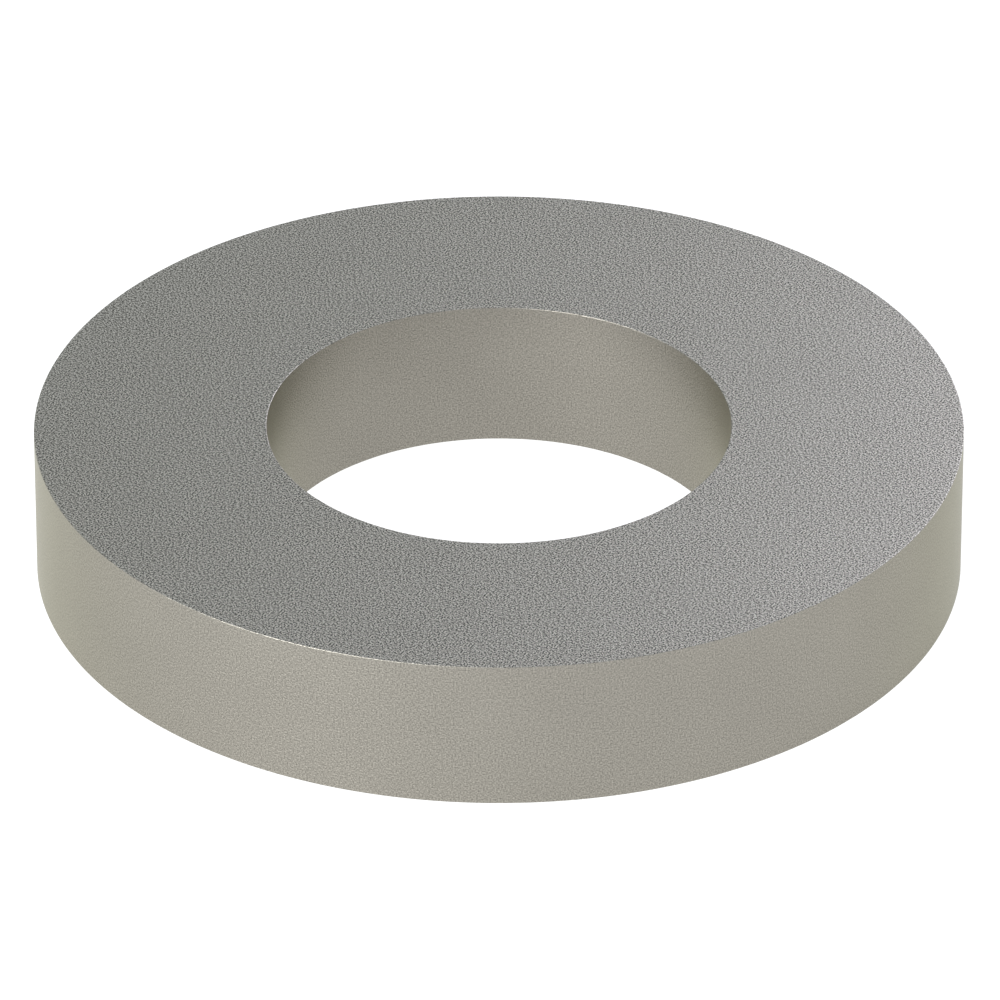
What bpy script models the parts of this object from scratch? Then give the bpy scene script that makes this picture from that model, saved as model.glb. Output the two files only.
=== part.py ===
"""A thick plain flat washer: one round steel ring.

Metres, +Z up. The origin is the centre of the lower face, and +Z runs along the ring's axis.
"""

import math

import bmesh
import bpy

INCH = 0.0254

# Driving dimensions
BORE_DIAMETER = 21 / 32 * INCH
OUTSIDE_DIAMETER = 2 * BORE_DIAMETER
THICKNESS = OUTSIDE_DIAMETER / 6
EDGE_BREAK = 0.00006
SEGMENTS = 180

# Surface
STEEL_COLOUR = (0.29, 0.275, 0.24, 1.0)
STEEL_ROUGHNESS = 0.36
SHARP_EDGE_ANGLE = math.radians(30)


def clear_scene():
    for old in list(bpy.data.objects):
        bpy.data.objects.remove(old)


def steel():
    """Plain steel with a matt, fine-grained surface."""
    material = bpy.data.materials.new("steel")
    material.use_nodes = True
    shader = material.node_tree.nodes["Principled BSDF"]
    shader.inputs["Base Color"].default_value = STEEL_COLOUR
    shader.inputs["Metallic"].default_value = 1.0
    shader.inputs["Roughness"].default_value = STEEL_ROUGHNESS
    return material


def ring_profile():
    """The ring's cross-section, as (distance from the axis, height): a rectangle with all four corners broken."""
    inner = BORE_DIAMETER / 2
    outer = OUTSIDE_DIAMETER / 2
    return [
        (inner + EDGE_BREAK, 0.0),
        (outer - EDGE_BREAK, 0.0),
        (outer, EDGE_BREAK),
        (outer, THICKNESS - EDGE_BREAK),
        (outer - EDGE_BREAK, THICKNESS),
        (inner + EDGE_BREAK, THICKNESS),
        (inner, THICKNESS - EDGE_BREAK),
        (inner, EDGE_BREAK),
    ]


def revolve(profile):
    """A closed ring: the profile carried once round the Z axis."""
    mesh = bmesh.new()
    corners = [mesh.verts.new((radius, 0.0, height)) for radius, height in profile]
    sides = [mesh.edges.new((corners[i - 1], corners[i])) for i in range(len(corners))]
    bmesh.ops.spin(
        mesh,
        geom=corners + sides,
        cent=(0.0, 0.0, 0.0),
        axis=(0.0, 0.0, 1.0),
        angle=2 * math.pi,
        steps=SEGMENTS,
        use_merge=True,
    )
    bmesh.ops.recalc_face_normals(mesh, faces=mesh.faces)
    return mesh


def washer_ring():
    data = bpy.data.meshes.new("washer_ring")
    ring = revolve(ring_profile())
    ring.to_mesh(data)
    ring.free()
    data.shade_smooth()
    data.set_sharp_from_angle(angle=SHARP_EDGE_ANGLE)
    data.materials.append(steel())
    washer = bpy.data.objects.new("washer_ring", data)
    bpy.context.scene.collection.objects.link(washer)
    return washer


clear_scene()
washer_ring()
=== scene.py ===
"""The looks of a thick flat washer: fine-grained matt steel, on a plain white floor in soft studio light."""

import math

import bmesh
import bpy
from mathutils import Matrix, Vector, noise


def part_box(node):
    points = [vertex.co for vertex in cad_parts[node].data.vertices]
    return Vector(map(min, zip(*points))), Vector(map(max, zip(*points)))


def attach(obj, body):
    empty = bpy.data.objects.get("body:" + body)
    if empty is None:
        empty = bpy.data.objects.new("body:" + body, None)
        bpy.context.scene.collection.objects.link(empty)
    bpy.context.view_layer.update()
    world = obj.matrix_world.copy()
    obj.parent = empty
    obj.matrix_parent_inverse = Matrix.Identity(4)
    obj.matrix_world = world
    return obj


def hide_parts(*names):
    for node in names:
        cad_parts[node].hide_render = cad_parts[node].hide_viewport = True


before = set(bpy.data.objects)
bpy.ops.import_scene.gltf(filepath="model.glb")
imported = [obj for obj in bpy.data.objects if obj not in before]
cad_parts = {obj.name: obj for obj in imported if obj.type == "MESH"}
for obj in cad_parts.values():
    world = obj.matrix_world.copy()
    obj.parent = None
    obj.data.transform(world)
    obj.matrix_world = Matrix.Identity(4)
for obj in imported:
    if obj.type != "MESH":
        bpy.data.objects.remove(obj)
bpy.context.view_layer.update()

MM = 0.001

# The ring's edges: each is rounded, a little more in some places than in others
SEGMENTS = 720
EDGE_RADIUS = 0.020 * MM
EDGE_STEPS = 5
EDGE_UNEVENNESS = 0.35
UNEVEN_LENGTH = 1.1 * MM

# Steel: the grain, the mottling and the wear make it lighter or darker by these shares of its colour
STEEL_COLOUR = (0.29, 0.275, 0.24)
STEEL_ROUGHNESS = 0.36
STEEL_EDGE_TINT = (0.85, 0.85, 0.75)
GRAINS_THROUGH_RING = 96
GRAIN_TURN = math.radians(27)
FACE_GRAIN = 4.5
WALL_GRAIN = 1.1
ROUGHNESS_GRAIN = 0.1
MOTTLE_SIZE = 2.5 * MM
MOTTLE = 0.10
FACE_BUMP = 0.004 * MM
WALL_BUMP = 0.012 * MM
WEAR_WIDTH = 0.12 * MM
WEAR = 0.06
WEAR_PATCH_SIZE = 0.6 * MM
BRIGHTNESS_LIMITS = (0, 2)

# Camera, in the ring's outer radii where it isn't an angle or a lens
CAMERA_ELEVATION = math.radians(30.77)
CAMERA_DISTANCE = 23.47
CAMERA_LENS_MM = 391.3
AIM_BELOW = 0.0221
AIM_RIGHT = 0.0023

# The floor: plain white, and lit evenly from below, so that nothing on it casts a shadow
FLOOR_RADIUS = 4.0
FLOOR_DROP = 0.01 * MM
FLOOR_COLOUR = (0.15, 0.15, 0.15)
FLOOR_GLOW = (1.0, 1.0, 1.0)

# The room: cool grey, and white at the horizon, where it meets the floor
ROOM_COLOUR = (0.65, 0.70, 0.75)
HORIZON_COLOUR = (1.0, 1.0, 1.0)
HORIZON_TOP = 0.05

# Softboxes: name, azimuth and elevation in degrees (azimuth 0 is the camera's side and 90 is +X),
# width and height in metres, and red, green and blue brightness
SOFTBOX_DISTANCE = 0.35
SOFTBOXES = (
    ("key", -45, 20, 0.30, 0.15, (16, 16, 16)),
    ("back_light", 150, 30, 0.20, 0.20, (4, 4, 5)),
)


def measured_ring():
    """(outer radius, bore radius, thickness) of the CAD ring, in metres."""
    low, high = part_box("washer_ring")
    spread = [math.hypot(v.co.x, v.co.y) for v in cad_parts["washer_ring"].data.vertices]
    return high.x, min(spread), high.z - low.z


OUTER, BORE, THICKNESS = measured_ring()
GRAIN_SIZE = THICKNESS / GRAINS_THROUGH_RING


# The ring's mesh


def edge_radius(radius, height, turn):
    """The rounding of the edge at this radius and height, where the ring has turned this far."""
    place = Vector((radius * math.cos(turn), radius * math.sin(turn), height))
    return EDGE_RADIUS * (1 + EDGE_UNEVENNESS * noise.noise(place / UNEVEN_LENGTH))


def rounded_corner(radius, height, turn, first_degrees):
    """One corner of the cross-section: an arc, with a point on the flat a rounding's length off each end."""
    rounding = edge_radius(radius, height, turn)
    towards_metal = 1 if radius == BORE else -1
    away_from_face = 1 if height == 0 else -1
    centre = (radius + towards_metal * rounding, height + away_from_face * rounding)
    arc = []
    for step in range(EDGE_STEPS + 1):
        angle = math.radians(first_degrees + 90 * step / EDGE_STEPS)
        arc.append((centre[0] + rounding * math.cos(angle), centre[1] + rounding * math.sin(angle)))
    before = extend(arc[0], math.radians(first_degrees - 90), rounding)
    after = extend(arc[-1], math.radians(first_degrees + 180), rounding)
    return [before, *arc, after]


def extend(point, angle, length):
    return point[0] + length * math.cos(angle), point[1] + length * math.sin(angle)


def cross_section(turn):
    """The ring's cut face as (distance from the axis, height), anticlockwise from the outer wall's foot."""
    return [
        *rounded_corner(OUTER, 0, turn, -90),
        *rounded_corner(OUTER, THICKNESS, turn, 0),
        *rounded_corner(BORE, THICKNESS, turn, 90),
        *rounded_corner(BORE, 0, turn, 180),
    ]


def ring_mesh():
    """The cross-section carried round the axis."""
    mesh = bmesh.new()
    rows = []
    for i in range(SEGMENTS):
        turn = 2 * math.pi * i / SEGMENTS
        rows.append([
            mesh.verts.new((radius * math.cos(turn), radius * math.sin(turn), height))
            for radius, height in cross_section(turn)
        ])
    for i, row in enumerate(rows):
        following = rows[(i + 1) % SEGMENTS]
        for j in range(len(row)):
            k = (j + 1) % len(row)
            mesh.faces.new((row[j], following[j], following[k], row[k]))
    bmesh.ops.recalc_face_normals(mesh, faces=mesh.faces)
    data = bpy.data.meshes.new("steel_ring")
    mesh.to_mesh(data)
    mesh.free()
    data.shade_smooth()
    return data


# Node helpers: each adds one node and returns its output


def feed(tree, socket, value):
    """Links a socket to a node's output, or sets it to a plain value."""
    if isinstance(value, bpy.types.NodeSocket):
        tree.links.new(value, socket)
    else:
        socket.default_value = value


def maths(tree, operation, *values):
    node = tree.nodes.new("ShaderNodeMath")
    node.operation = operation
    for socket, value in zip(node.inputs, values):
        feed(tree, socket, value)
    return node.outputs["Value"]


def vector_maths(tree, operation, *values):
    node = tree.nodes.new("ShaderNodeVectorMath")
    node.operation = operation
    for socket, value in zip(node.inputs, values):
        feed(tree, socket, value)
    return node.outputs["Vector"]


def map_range(tree, value, source, target, smooth=False):
    """Carries a value from one range to another, and no further than its ends."""
    node = tree.nodes.new("ShaderNodeMapRange")
    node.interpolation_type = "SMOOTHSTEP" if smooth else "LINEAR"
    names = ("Value", "From Min", "From Max", "To Min", "To Max")
    for name, setting in zip(names, (value, *source, *target)):
        feed(tree, node.inputs[name], setting)
    return node.outputs["Result"]


def cloud(tree, place, size, detail=0.0):
    """Soft random tone, 0 in the mean and mostly between -0.25 and 0.25, in blobs of this size."""
    node = tree.nodes.new("ShaderNodeTexNoise")
    feed(tree, node.inputs["Vector"], place)
    node.inputs["Scale"].default_value = 1 / size
    node.inputs["Detail"].default_value = detail
    return maths(tree, "SUBTRACT", node.outputs["Fac"], 0.5)


def parts_of(tree, vector):
    node = tree.nodes.new("ShaderNodeSeparateXYZ")
    feed(tree, node.inputs["Vector"], vector)
    return node.outputs


# Steel


def cylinder_place(tree, place):
    """(distance round the ring, distance from its axis, height), for a grain that lies flat on the walls."""
    x, y, z = parts_of(tree, place)
    x_squared, y_squared = maths(tree, "MULTIPLY", x, x), maths(tree, "MULTIPLY", y, y)
    radius = maths(tree, "SQRT", maths(tree, "ADD", x_squared, y_squared))
    node = tree.nodes.new("ShaderNodeCombineXYZ")
    feed(tree, node.inputs["X"], maths(tree, "MULTIPLY", maths(tree, "ARCTAN2", y, x), radius))
    feed(tree, node.inputs["Y"], radius)
    feed(tree, node.inputs["Z"], z)
    return node.outputs["Vector"]


def turned(tree, place):
    """The place turned round the ring's axis, so that the grain lines up with nothing."""
    node = tree.nodes.new("ShaderNodeVectorRotate")
    node.rotation_type = "Z_AXIS"
    node.inputs["Angle"].default_value = GRAIN_TURN
    feed(tree, node.inputs["Vector"], place)
    return node.outputs["Vector"]


def choose(tree, factor, first, second):
    """The first vector where the factor is 0, and the second where it is 1."""
    node = tree.nodes.new("ShaderNodeMix")
    node.data_type = "VECTOR"
    sockets = [socket for socket in node.inputs if socket.enabled]
    for socket, value in zip(sockets, (factor, first, second)):
        feed(tree, socket, value)
    return next(socket for socket in node.outputs if socket.enabled)


def edge_nearness(tree, wrapped):
    """1 on the ring's edges, falling to 0 at WEAR_WIDTH from them along either surface."""
    _, radius, height = parts_of(tree, wrapped)
    to_outer, to_bore = maths(tree, "SUBTRACT", OUTER, radius), maths(tree, "SUBTRACT", radius, BORE)
    to_wall = maths(tree, "MINIMUM", to_outer, to_bore)
    to_face = maths(tree, "MINIMUM", height, maths(tree, "SUBTRACT", THICKNESS, height))
    return map_range(tree, maths(tree, "MAXIMUM", to_wall, to_face), (0, WEAR_WIDTH), (1, 0), smooth=True)


def steel_brightness(tree, place, wrapped, grain, on_face):
    """How light the metal is against its plain colour, which is 1."""
    strength = map_range(tree, on_face, (0, 1), (WALL_GRAIN, FACE_GRAIN))
    speckle = maths(tree, "MULTIPLY", grain, strength)
    mottle = maths(tree, "MULTIPLY", cloud(tree, place, MOTTLE_SIZE, detail=3.0), MOTTLE)
    patches = maths(tree, "ADD", cloud(tree, place, WEAR_PATCH_SIZE), 0.5)
    wear = maths(tree, "MULTIPLY", maths(tree, "MULTIPLY", edge_nearness(tree, wrapped), patches), WEAR)
    total = maths(tree, "ADD", maths(tree, "ADD", speckle, mottle), maths(tree, "ADD", wear, 1.0))
    return map_range(tree, total, BRIGHTNESS_LIMITS, BRIGHTNESS_LIMITS)


def steel_material():
    """Matt steel with a fine even grain that has no direction."""
    material = bpy.data.materials.new("matt_steel")
    material.use_nodes = True
    tree = material.node_tree
    shader = tree.nodes["Principled BSDF"]
    place = tree.nodes.new("ShaderNodeTexCoord").outputs["Object"]
    facing = tree.nodes.new("ShaderNodeNewGeometry").outputs["Normal"]
    on_face = maths(tree, "GREATER_THAN", maths(tree, "ABSOLUTE", parts_of(tree, facing)[2]), 0.7)
    wrapped = cylinder_place(tree, place)
    grain = cloud(tree, choose(tree, on_face, wrapped, turned(tree, place)), GRAIN_SIZE)
    brightness = steel_brightness(tree, place, wrapped, grain, on_face)
    roughness = maths(tree, "ADD", STEEL_ROUGHNESS, maths(tree, "MULTIPLY", grain, ROUGHNESS_GRAIN))
    bump = tree.nodes.new("ShaderNodeBump")
    bump.inputs["Distance"].default_value = 1.0
    bump_height = map_range(tree, on_face, (0, 1), (WALL_BUMP, FACE_BUMP))
    feed(tree, bump.inputs["Height"], maths(tree, "MULTIPLY", grain, bump_height))
    shader.inputs["Metallic"].default_value = 1.0
    shader.inputs["Specular Tint"].default_value = (*STEEL_EDGE_TINT, 1.0)
    feed(tree, shader.inputs["Base Color"], vector_maths(tree, "MULTIPLY", brightness, STEEL_COLOUR))
    feed(tree, shader.inputs["Roughness"], roughness)
    feed(tree, shader.inputs["Normal"], bump.outputs["Normal"])
    return material


def build_ring():
    ring = bpy.data.objects.new("steel_ring", ring_mesh())
    bpy.context.scene.collection.objects.link(ring)
    ring.data.materials.append(steel_material())
    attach(ring, "root")
    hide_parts("washer_ring")


# Studio


def add_camera():
    """Looks along +Y and down at the ring, which it holds a little above the middle of the picture."""
    middle = Vector((0, 0, THICKNESS / 2))
    back = Vector((0, -math.cos(CAMERA_ELEVATION), math.sin(CAMERA_ELEVATION)))
    up = Vector((0, math.sin(CAMERA_ELEVATION), math.cos(CAMERA_ELEVATION)))
    right = Vector((1, 0, 0))
    aim = middle + OUTER * (AIM_RIGHT * right - AIM_BELOW * up)
    data = bpy.data.cameras.new("camera")
    data.lens = CAMERA_LENS_MM
    data.sensor_width = 36.0
    data.clip_start = 0.01
    data.clip_end = 20.0
    camera = bpy.data.objects.new("camera", data)
    camera.location = middle + back * CAMERA_DISTANCE * OUTER
    camera.rotation_euler = (aim - camera.location).to_track_quat("-Z", "Y").to_euler()
    bpy.context.scene.collection.objects.link(camera)
    bpy.context.scene.camera = camera


def floor_material():
    material = bpy.data.materials.new("white_floor")
    material.use_nodes = True
    shader = material.node_tree.nodes["Principled BSDF"]
    shader.inputs["Base Color"].default_value = (*FLOOR_COLOUR, 1.0)
    shader.inputs["Roughness"].default_value = 1.0
    shader.inputs["Specular IOR Level"].default_value = 0.0
    shader.inputs["Emission Color"].default_value = (*FLOOR_GLOW, 1.0)
    shader.inputs["Emission Strength"].default_value = 1.0
    return material


def add_floor():
    mesh = bmesh.new()
    bmesh.ops.create_circle(mesh, cap_ends=True, segments=96, radius=FLOOR_RADIUS)
    data = bpy.data.meshes.new("floor")
    mesh.to_mesh(data)
    mesh.free()
    floor = bpy.data.objects.new("floor", data)
    floor.location.z = -FLOOR_DROP
    bpy.context.scene.collection.objects.link(floor)
    data.materials.append(floor_material())


def add_softbox(name, azimuth, elevation, width, height, brightness):
    """A rectangular soft light aimed at the ring."""
    around, above = math.radians(azimuth), math.radians(elevation)
    direction = Vector((
        math.cos(above) * math.sin(around),
        -math.cos(above) * math.cos(around),
        math.sin(above),
    ))
    data = bpy.data.lights.new(name, "AREA")
    data.shape = "RECTANGLE"
    data.size, data.size_y = width, height
    data.energy = math.pi * width * height
    data.color = brightness
    light = bpy.data.objects.new(name, data)
    light.location = direction * SOFTBOX_DISTANCE
    light.rotation_euler = direction.to_track_quat("Z", "Y").to_euler()
    light.visible_camera = False
    bpy.context.scene.collection.objects.link(light)


def add_room():
    world = bpy.data.worlds.new("studio")
    world.use_nodes = True
    tree = world.node_tree
    direction = tree.nodes.new("ShaderNodeTexCoord").outputs["Generated"]
    above_horizon = map_range(tree, parts_of(tree, direction)[2], (0, HORIZON_TOP), (0, 1), smooth=True)
    colour = choose(tree, above_horizon, HORIZON_COLOUR, ROOM_COLOUR)
    feed(tree, tree.nodes["Background"].inputs["Color"], colour)
    bpy.context.scene.world = world


def add_studio():
    add_camera()
    add_floor()
    for softbox in SOFTBOXES:
        add_softbox(*softbox)
    add_room()
    bpy.context.scene.view_settings.view_transform = "Standard"


build_ring()
add_studio()
